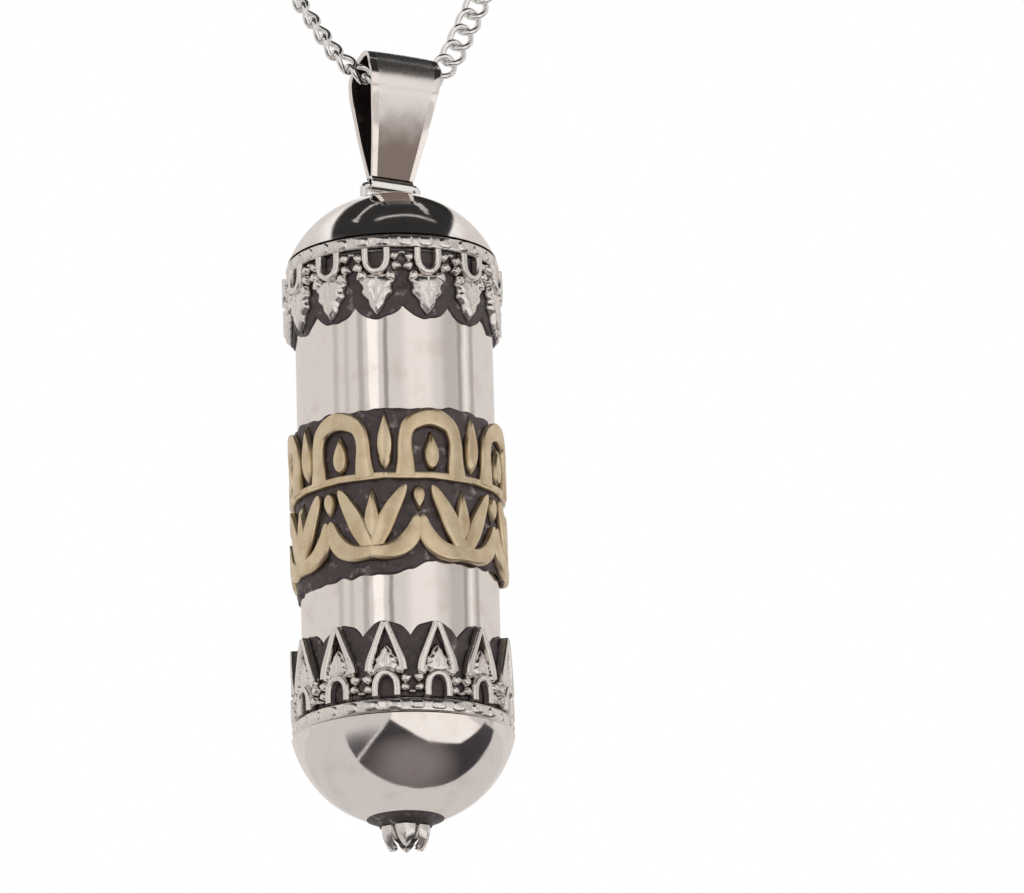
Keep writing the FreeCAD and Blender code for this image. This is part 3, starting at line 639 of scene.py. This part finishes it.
def gold_rows():
    """Arches over leaves in the upper row, and fans of leaves in the lower one, with a gap between."""
    crown, foot = 0.50, 0.06
    for i in range(ORNAMENTS):
        for kind, shape in (("arch", gold_arch), ("palmette", gold_palmette)):
            low, high = span(f"gold_{kind}_{i + 1}")
            draw = random.Random(31 * i + len(kind))
            turn = 360.0 / ORNAMENTS * (i + (0.35 if kind == "palmette" else 0.0))
            flat = raised(shape(high - low, crown, foot, draw), low)
            made = piece(f"gold_{kind}_relief_{i + 1}", *wrapped(flat, turn), GOLD, "capsule",
                         [f"gold_{kind}_{i + 1}"], "gold")
            sharpen(made, 40)


PITCH = TAU * TUBE_R / ORNAMENTS


def blade(points, widest, crown, foot, start=0.35, finish=0.15):
    """A stroke that swells to its widest near the middle and thins to its ends."""
    line = smooth_line(points, 8)
    last = len(line) - 1
    widths = []
    for i in range(last + 1):
        t = i / last
        ends = start + (finish - start) * t
        widths.append(widest * (ends + (1 - ends) * math.sin(math.pi * t) ** 0.7))
    return stroke(line, widths, crown, foot)


def gold_arch(tall, crown, foot, draw):
    """A bold horseshoe over an upright leaf, both standing on a bar, and another leaf beside it."""
    lean = draw.uniform(-0.03, 0.03)
    half_shoe = [(-1.30, 0.16), (-1.25, 0.9), (-1.24, tall - 1.60), (-0.92, tall - 0.82)]
    shoe = smooth_line(half_shoe + [(0, tall - 0.44)] + [(-x, z) for x, z in half_shoe[::-1]], 8)
    last = len(shoe) - 1
    widths = [0.41 + 0.07 * math.cos(TAU * 2 * i / last) for i in range(last + 1)]
    parts = [stroke([(x + lean * z, z) for x, z in shoe], widths, crown, foot)]
    parts.append(stroke([(-2.34, 0.21), (-1.2, 0.20), (0, 0.22), (1.2, 0.20), (2.34, 0.21)],
                        [0.17, 0.21, 0.19, 0.21, 0.17], crown - 0.04, foot))
    leaf = [(x, z + 0.42) for x, z in leaf_outline(tall - 1.55, 0.44, 1, 0.05, 34)]
    parts.append(pillow(leaf, crown - 0.03, foot, 5, 2.8, centre=(0, 1.2)))
    side = [(x + PITCH / 2, z + 0.48) for x, z in leaf_outline(tall - 0.52, 0.44, 1, 0.05, 38)]
    parts.append(pillow(side, crown - 0.02, foot, 5, 2.8, centre=(PITCH / 2, tall / 2 + 0.2)))
    return joined(parts)


def gold_palmette(tall, crown, foot, draw):
    """Five swept leaves that fan out of a round foot, with a drop between this fan and the next."""
    root = (0.0, 0.62)
    parts = []
    for side in (-1, 1):
        parts.append(blade([root, (0.80 * side, 0.58), (1.50 * side, 0.90), (1.98 * side, 1.62),
                            (2.10 * side, 2.40)], 0.48, crown, foot, 0.7, 0.10))
        bend = draw.uniform(-0.06, 0.06)
        parts.append(blade([root, ((0.50 + bend) * side, 1.62), ((0.92 + bend) * side, 2.60),
                            (1.62 * side, tall - 0.16)], 0.46, crown - 0.015, foot, 0.6, 0.12))
    parts.append(pillow([(x, z + 0.85) for x, z in leaf_outline(tall - 0.95, 0.46, 1, 0.04, 38)],
                        crown - 0.02, foot, 5, 2.8, centre=(0, tall / 2 + 0.2)))
    base = [(0.74 * math.cos(t), root[1] + 0.46 * math.sin(t)) for t in (TAU * i / 30 for i in range(30))]
    parts.append(pillow(base, crown + 0.01, foot, 5, 3.0))
    drop = [(x + PITCH / 2, tall - 0.06 - z) for x, z in reversed(leaf_outline(1.45, 0.36, 1, 0.04, 26))]
    parts.append(pillow(drop, crown - 0.03, foot, 4, 2.8, centre=(PITCH / 2, tall - 0.65)))
    return joined(parts)


# ---------------------------------------------------------------- bail
BAIL_R = span("bail_strip", 1)[1]
BAIL_LEAN = math.radians(4.0)
BAIL_RISE = 6.75
BAIL_TOP_W, BAIL_FOOT_W = 3.92, 2.3
BAIL_FOOT_DEPTH = 1.0
BAIL_SHOULDER = 1.3       # height of the part near the top that keeps its width
BAIL_BOW = 0.09           # how far a leg bows out
BAIL_EDGE_R = 0.11
LEG_STEPS = 30
FLATS, ROUNDS = 13, 4     # points across a face and round an edge


def bail():
    """The folded strip: a crowned ribbon with rounded edges that runs up, over the chain and down."""
    foot_z = KNUCKLE.z + 0.36
    top_z = KNUCKLE.z + 0.34 + BAIL_RISE
    radius = BAIL_R - SKIN / 2
    centre_z = top_z - BAIL_R
    foot_y = (BAIL_FOOT_DEPTH - SKIN) / 2
    reach = math.hypot(centre_z - foot_z, foot_y)
    lean = math.asin(radius / reach) - math.atan2(foot_y, centre_z - foot_z)
    touch = Vector((-radius * math.cos(lean), centre_z - radius * math.sin(lean)))

    def leg(start, end, i):
        """A point on one leg, which bows out a little between its ends."""
        bow = math.copysign(BAIL_BOW * math.sin(math.pi * i / LEG_STEPS) ** 2, start.x)
        return start.lerp(end, i / LEG_STEPS) + Vector((bow, 0))

    line = [leg(Vector((-foot_y, foot_z)), touch, i) for i in range(LEG_STEPS)]
    sweep, steps = math.pi + 2 * lean, 2 * LEG_STEPS
    for i in range(steps + 1):
        turn = math.pi + lean - sweep * i / steps
        line.append(Vector((radius * math.cos(turn), centre_z + radius * math.sin(turn))))
    line += [leg(Vector((-touch.x, touch.y)), Vector((foot_y, foot_z)), i) for i in range(1, LEG_STEPS + 1)]
    edge, shoulder_z = BAIL_EDGE_R, top_z - BAIL_SHOULDER
    spin = Matrix.Rotation(BAIL_LEAN, 3, "Y")
    verts, faces, slots = [], [], []
    last, count = len(line) - 1, 2 * (FLATS + ROUNDS)
    for i, here in enumerate(line):
        along = (line[min(i + 1, last)] - line[max(i - 1, 0)]).normalized()
        out = Vector((-along.y, along.x))
        low = (here.y - foot_z) / (shoulder_z - foot_z)
        half = BAIL_FOOT_W / 2 + (BAIL_TOP_W - BAIL_FOOT_W) / 2 * min(1.0, low)
        half -= 0.14 * max(0.0, (here.y - shoulder_z) / BAIL_SHOULDER) ** 2
        ring = []
        for sign in (1, -1):
            across = FLATS // 2
            for x in (sign * (half - edge) * k / across for k in range(-across, across + 1)):
                crown = 0.035 * (1 - (x / half) ** 2) * (1 if sign > 0 else 0.3)
                ring.append((x, sign * SKIN / 2 - 0.05 + crown if sign > 0 else -SKIN / 2))
            for k in range(1, ROUNDS + 1):
                a = math.pi / 2 - math.pi * k / (ROUNDS + 1)
                ring.append((sign * (half - edge + edge * math.cos(a)),
                             sign * (SKIN / 2 - 0.03) * math.sin(a)))
        for x, off in ring:
            point = Vector((x, here.x + out.x * off, here.y + out.y * off))
            point = spin @ (point - KNUCKLE) + KNUCKLE
            verts.append(tuple(point))
    for i in range(last):
        for j in range(count):
            k = (j + 1) % count
            faces.append((i * count + j, (i + 1) * count + j, (i + 1) * count + k, i * count + k))
            rim = j == 0 or FLATS - 2 <= j < FLATS + ROUNDS or j >= count - ROUNDS - 1
            slots.append(2 if rim else int(j >= FLATS))
    faces.append(tuple(range(count)))
    faces.append(tuple(reversed([last * count + j for j in range(count)])))
    made = piece("bail", verts, faces, BAIL_SILVER, "bail", ["bail_strip"], "bail_silver")
    made.data.materials.append(BAIL_INSIDE)
    made.data.materials.append(SILVER)
    for polygon, index in zip(made.data.polygons, slots):
        polygon.material_index = index
    sharpen(made, 45)


# ---------------------------------------------------------------- chain
CHAIN_ROUTE = [(-9.43, 11.03), (-7.04, 7.34), (-4.48, 3.64), (-1.84, 0.0),
               (2.71, 0.0), (4.68, 4.04), (6.62, 8.11), (8.48, 12.09)]
CHAIN_D = 1.36
LINK_PITCH = 0.98
LINK_WIRE = 0.155
LINK_TWIST = 0.175              # how far a link's ends are turned out of its plane
TURN_LEFT, TURN_RIGHT = -50, -10   # degrees that the links are turned on each side of the bail


def spline_points(name, points):
    """Evenly spaced points read from a smooth line with the given control points."""
    curve = bpy.data.curves.new(name, "CURVE")
    curve.dimensions = "3D"
    curve.resolution_u = 24
    spline = curve.splines.new("NURBS")
    spline.points.add(len(points) - 1)
    for point, (x, z) in zip(spline.points, points):
        point.co = (x * MM, 0, z * MM, 1)
    spline.order_u = 3
    spline.use_endpoint_u = True
    carrier = bpy.data.objects.new(name, curve)
    read = bpy.data.meshes.new_from_object(carrier)
    line = [v.co.copy() / MM for v in read.vertices]
    bpy.data.objects.remove(carrier)
    bpy.data.curves.remove(curve)
    bpy.data.meshes.remove(read)
    return line


def place_along(line, distance):
    """Point and direction at a distance along a line."""
    for a, b in zip(line, line[1:]):
        step = (b - a).length
        if distance <= step:
            return a.lerp(b, distance / step), (b - a).normalized()
        distance -= step
    return line[-1], (line[-1] - line[-2]).normalized()


def chain():
    """A curb chain: each link is an oval wire, twisted so that neighbours lie flat together."""
    line = spline_points("chain_route", CHAIN_ROUTE)
    length = sum((b - a).length for a, b in zip(line, line[1:]))
    count = int(length / LINK_PITCH)
    half_long = (LINK_PITCH + 2 * LINK_WIRE) / 2
    half_wide = CHAIN_D / 2 - LINK_WIRE
    parts = []
    for k in range(count):
        at = (k + 0.5) * length / count
        middle, along = place_along(line, at)
        side = along.cross(Vector((0, 1, 0))).normalized()
        share = at / length
        past = min(1.0, max(0.0, (share - 0.30) / 0.35))
        twist = math.radians(TURN_LEFT + (TURN_RIGHT - TURN_LEFT) * past)
        side = Matrix.Rotation(twist, 3, along) @ side
        face = along.cross(side)

        def wire(t):
            return (along * (half_long * math.cos(t)) + side * (half_wide * math.sin(t))
                    + face * (LINK_TWIST * math.sin(2 * t)))

        verts, faces = [], []
        around, thick = 28, 10
        for i in range(around):
            t = TAU * i / around
            here = wire(t)
            ahead = (wire(t + 0.05) - wire(t - 0.05)).normalized()
            out = (here - ahead * here.dot(ahead)).normalized()
            across = ahead.cross(out)
            for j in range(thick):
                s = TAU * j / thick
                verts.append(tuple(middle + here + (out * math.cos(s) + across * math.sin(s)) * LINK_WIRE))
        for i in range(around):
            for j in range(thick):
                a, b = (i + 1) % around, (j + 1) % thick
                faces.append((i * thick + j, i * thick + b, a * thick + b, a * thick + j))
        parts.append((verts, faces))
    made = piece("chain_links", *joined(parts), CHAIN_SILVER, "neck_chain", ["neck_chain"], "chain_silver")


# ---------------------------------------------------------------- finial
CROWN_PETALS = 6
PETAL_REACH, PETAL_LEAN = 1.20, 0.42
PETAL_HALF, PETAL_FOLD, PETAL_DEPTH = 0.50, 0.14, 0.30


def finial():
    """A crown of folded pointed petals round a bead, with a thin dark ring laid on the dome round its foot.
    """
    low, high = span("finial_crown")
    tall = high - low
    parts = []
    rows, across = 14, 10
    for i in range(CROWN_PETALS):
        spin = Matrix.Rotation(TAU * i / CROWN_PETALS + math.radians(VIEW_AZIMUTH), 3, "Z")
        verts, faces = [], []
        for a in range(rows + 1):
            t = a / rows
            reach = PETAL_REACH - PETAL_LEAN * t ** 2.2
            half = PETAL_HALF * (1 - t ** 2.0) ** 0.75 if t < 1 else 0.0
            z = high - 0.04 - (tall - 0.05) * t
            for b in range(across + 1):
                s = -1 + 2 * b / across
                fold = PETAL_FOLD * (1 - abs(s)) - 0.10 * s * s
                verts.append(tuple(spin @ Vector((half * s, -(reach + fold), z))))
            verts.append(tuple(spin @ Vector((0, -(reach - PETAL_DEPTH), z + 0.10 * t))))
        wide = across + 2
        for a in range(rows):
            for b in range(wide):
                c = (b + 1) % wide
                faces.append((a * wide + b, (a + 1) * wide + b, (a + 1) * wide + c, a * wide + c))
        faces.append(tuple(reversed(range(wide))))
        faces.append(tuple(rows * wide + b for b in range(wide)))
        parts.append((verts, faces))
    core = [(AXIS_R, low + 0.25), (0.35, low + 0.3), (0.62, low + 0.55), (0.74, low + 0.9), (0.80, high),
            (AXIS_R, high)]
    parts.append(lathe(core, 48))
    finish = relief_silver("finial_silver", 0.50, 0.72)
    made = piece("finial_petals", *joined(parts), finish, "cap", ["finial_crown"], "relief_silver")
    sharpen(made, 40)
    # a thin sheet in the blackened finish lies on the dome round the petals' foot and makes the dome dark
    # there
    low, high = span("finial_ring")
    wide = span("finial_ring", 0)[1]
    radius = (CAP_R ** 2 + (CAP_RIM - CAP_FOOT) ** 2) / (2 * (CAP_RIM - CAP_FOOT))
    outline = [(0.6, low + 0.02), (1.15, low), (1.32, low + 0.06)]
    for i in range(12):
        r = 1.36 + (wide - 1.36) * i / 11
        skin = CAP_FOOT + radius - math.sqrt(radius ** 2 - r ** 2)
        outline.append((r, skin - 0.075 * (1 - i / 11) ** 1.5 - 0.004))
    outline.append((wide, CAP_FOOT + radius - math.sqrt(radius ** 2 - wide ** 2) + 0.01))
    outline.append((0.6, CAP_FOOT + 0.08))
    piece("finial_dark_ring", *lathe(outline, 160), BACK_BLACK, "cap", ["finial_ring"], "oxidised_silver")


# ---------------------------------------------------------------- parchment
def parchment():
    """The rolled sheet, wound in a spiral, with a linen thread round its middle."""
    low, high = span("parchment_scroll")
    outer = span("parchment_scroll", 0)[1]
    core, thick = 0.75, 0.13
    winds = 9
    steps, up = winds * 48, 24
    step_out = (outer - thick - core) / (winds * TAU)
    verts, faces = [], []
    for i in range(steps + 1):
        turn = winds * TAU * i / steps
        middle = core + step_out * turn
        for r in (middle, middle + thick):
            for j in range(up + 1):
                z = low + (high - low) * j / up + (0.02 if j == 0 else -0.02 if j == up else 0.0)
                verts.append((r * math.sin(turn), -r * math.cos(turn), z))
    rows = up + 1
    wide = rows * 2
    for i in range(steps):
        here, there = i * wide, (i + 1) * wide
        for j in range(up):
            faces.append((here + j, here + j + 1, there + j + 1, there + j))
            faces.append((here + rows + j, there + rows + j, there + rows + j + 1, here + rows + j + 1))
        faces.append((here, there, there + rows, here + rows))
        faces.append((here + up, here + rows + up, there + rows + up, there + up))
    for at, order in ((0, 1), (steps * wide, -1)):
        for j in range(up):
            faces.append((at + j, at + rows + j, at + rows + j + 1, at + j + 1)[::order])
    made = piece("parchment_sheet", verts, faces, PARCHMENT, "scroll", ["parchment_scroll"], "parchment")
    long = sum((core + thick / 2 + step_out * winds * TAU * (i + 0.5) / steps) * winds * TAU / steps
               for i in range(steps))
    long * MM
    low, high = span("scroll_tie")
    turns, per_turn, thread = 4, 60, 0.075
    rim = span("scroll_tie", 0)[1] - thread - 0.01
    verts, faces = [], []
    total = turns * per_turn
    for i in range(total + 1):
        t = TAU * i / per_turn
        z = low + thread + (high - low - 2 * thread) * i / total
        for j in range(8):
            s = TAU * j / 8 + t * 2.5
            twist = 1 + 0.16 * math.cos(2 * (s - t * 14))
            r = rim + thread * twist * math.cos(s)
            verts.append((r * math.sin(t), -r * math.cos(t), z + thread * twist * math.sin(s)))
    for i in range(total):
        for j in range(8):
            k = (j + 1) % 8
            faces.append((i * 8 + j, (i + 1) * 8 + j, (i + 1) * 8 + k, i * 8 + k))
    faces.append(tuple(reversed(range(8))))
    faces.append(tuple(total * 8 + j for j in range(8)))
    piece("linen_thread", verts, faces, LINEN, "scroll", ["scroll_tie"], "tie")


# ---------------------------------------------------------------- nodes kept as they are
def finish_nodes():
    wanted = {"bail_knuckle": CHAIN_SILVER, "bail_staple": CHAIN_SILVER, "thread_collar": SILVER,
              "cap_spigot": SILVER, "finial_pin": SILVER, "chain_end_left": CHAIN_SILVER,
              "chain_end_right": CHAIN_SILVER, "jump_ring": CHAIN_SILVER, "clasp_body": CHAIN_SILVER,
              "clasp_trigger": CHAIN_SILVER, "clasp_spring": CHAIN_SILVER}
    for name, finish in wanted.items():
        node = frame["nodes"][name]
        node.data.materials.clear()
        node.data.materials.append(finish)


# ---------------------------------------------------------------- studio
DISTANCE = 450.0
FIELD_WIDTH = 51.7
AIM_Z = -19.52
AIM_RIGHT = 5.83


def camera():
    a, e = math.radians(VIEW_AZIMUTH), math.radians(VIEW_ELEVATION)
    back = Vector((math.sin(a) * math.cos(e), -math.cos(a) * math.cos(e), math.sin(e)))
    data = bpy.data.cameras.new("camera")
    data.sensor_width = 36
    data.lens = 36 * DISTANCE / FIELD_WIDTH
    data.clip_start, data.clip_end = 0.01, 20
    made = bpy.data.objects.new("camera", data)
    bpy.context.scene.collection.objects.link(made)
    made.rotation_mode = "QUATERNION"
    level = (-back).to_track_quat("-Z", "Y")
    right = level @ Vector((1, 0, 0))
    target = UP * AIM_Z + right * AIM_RIGHT
    made.location = (target + back * DISTANCE) * MM
    made.rotation_quaternion = Matrix.Rotation(math.radians(VIEW_ROLL), 4, -back).to_quaternion() @ level
    bpy.context.scene.camera = made


def studio():
    """Soft light all round, with the panels, gaps and dark cards that polished silver mirrors."""
    world = bpy.data.worlds.new("studio")
    bpy.context.scene.world = world
    w = Tree(world)
    heading = w.node("ShaderNodeTexCoord", out=0)
    x, y, z = (w.node("ShaderNodeSeparateXYZ", {}, {0: heading}, out=axis) for axis in range(3))
    azimuth = w.node("ShaderNodeMath", {"operation": "ARCTAN2"}, {0: x, 1: y * -1}) * (180 / math.pi)
    height = w.node("ShaderNodeMath", {"operation": "ARCSINE"}, {0: z}) * (180 / math.pi)
    walls = height.step(-30, -20) * height.step(40, 55, 1, 0)

    def between(value, low, high, soft):
        return value.step(low - soft, low) * value.step(high, high + soft, 1, 0)

    dimmed = walls * (1 - between(azimuth, 155, 165, 7))
    light = 1 - 0.30 * dimmed
    # middle, half width and soft edge in degrees, and how much brighter or darker than the wall
    panels = ((-59, 2, 3, -0.34), (-44, 5, 2, 0.52), (-29, 1.5, 2, -0.55), (8, 9, 14, 0.24),
              (50, 5, 12, -0.26), (63, 1.5, 3, -0.45), (72, 1, 3, 0.25), (82, 2, 3, -0.36),
              (-77, 2, 2, -0.18), (-92, 2, 3, -0.22))
    for middle, half, soft, gain in panels:
        light = light * (1 + gain * between(azimuth, middle - half, middle + half, soft) * walls)
    over = w.node("ShaderNodeMath", {"operation": "MAXIMUM"}, {0: z, 1: 0.05})
    across, behind = x / over, y / over
    # a dark ceiling with one thin gap of light
    roof = between(across, -0.75, 0.74, 0.04) * height.step(24, 34)
    roof = roof * (behind - 0.66 * across).step(0.80, 0.90, 1, 0)
    gap = between(behind, -0.075, -0.045, 0.02) * between(across, -0.15, 0.45, 0.1)
    light = light * (1 - 0.97 * roof * (1 - 0.5 * gap))
    tint = w.mix(dimmed, (1, 1, 1, 1), (1, 0.955, 0.92, 1))
    background = w.node("ShaderNodeBackground", {}, {"Color": tint, "Strength": light})
    w.node("ShaderNodeOutputWorld", {}, {"Surface": background})

    def sheet(name, corners, finish):
        mesh = bpy.data.meshes.new(name)
        mesh.from_pydata(corners, [], [tuple(range(len(corners)))])
        made = bpy.data.objects.new(name, mesh)
        bpy.context.scene.collection.objects.link(made)
        made.data.materials.append(finish)
        return made

    paper = Finish("floor_paper").surface(base_color=(0.88, 0.87, 0.86, 1), roughness=0.8)
    sheet("floor", [(-3, -3, -0.3), (3, -3, -0.3), (3, 3, -0.3), (-3, 3, -0.3)], paper)

    # dark and pale cards below the front, which only the lower dome mirrors, in units of depth
    card_z, depth = -0.14, 0.10
    f = Finish("dark_card")
    from_middle = f.distance_from((0, -0.6 * depth, card_z))
    tone = f.mix(from_middle.step(0.2 * depth, 1.3 * depth), (0.30, 0.27, 0.27, 1), (0.05, 0.045, 0.052, 1))
    dark = f.surface(base_color=tone, roughness=0.9)
    g = Finish("grey_card")
    from_left = g.distance_from((-depth, 0, card_z))
    grey = g.surface(base_color=g.mix(from_left.step(0.3 * depth, 2.2 * depth), (0.12, 0.11, 0.125, 1),
                                      (0.85, 0.84, 0.84, 1)), roughness=0.9)
    # the pale card glows faintly: a light panel that only reflections show
    white = Finish("white_card").surface(base_color=(0.9, 0.88, 0.86, 1), roughness=0.9,
                                         emission_color=(1, 0.97, 0.94, 1), emission_strength=0.3)
    wide = [(-1.0, 0.0), (-1.7, -2.7), (0.3, -1.3), (1.4, -1.1), (9.0, -2.7), (9.0, 0.0)]
    narrow = [(-1.1, 0.0), (-3.3, -0.2), (-1.85, -2.75)]
    beyond = [(-1.7, -2.7), (-3.0, -6.0), (5.0, -6.0), (5.0, -1.9), (1.4, -1.1), (0.3, -1.3)]
    for name, corners, finish in (("front_card", wide, dark), ("side_card", narrow, grey),
                                  ("far_card", beyond, white)):
        card = sheet(name, [(x * depth, y * depth, card_z) for x, y in corners], finish)
        card.visible_camera = False
        card.visible_diffuse = False
        card.visible_shadow = False

    data = bpy.data.lights.new("key_light", "SUN")
    data.angle = math.radians(40)
    data.energy = 2.4
    key = bpy.data.objects.new("key_light", data)
    bpy.context.scene.collection.objects.link(key)
    key.location = (0.45, -0.35, 0.25)
    key.visible_glossy = False
    key.rotation_mode = "QUATERNION"
    key.rotation_quaternion = (Vector((0, 0, -0.02)) - key.location).to_track_quat("-Z", "Y")


finish_nodes()
domes()
tube()
beaded_rim("upper_beads", "top_bead_ring", 4)
beaded_rim("lower_beads", "foot_bead_ring", 9)
gallery("top", -1, TOP_GALLERY, TOP_GALLERY_TIP, False, 21)
gallery("foot", 1, FOOT_GALLERY, FOOT_GALLERY_TIP, True, 57)
ragged_plate()
gold_rows()
bail()
chain()
finial()
parchment()
camera()
studio()

bpy.context.scene.view_settings.view_transform = "Standard"
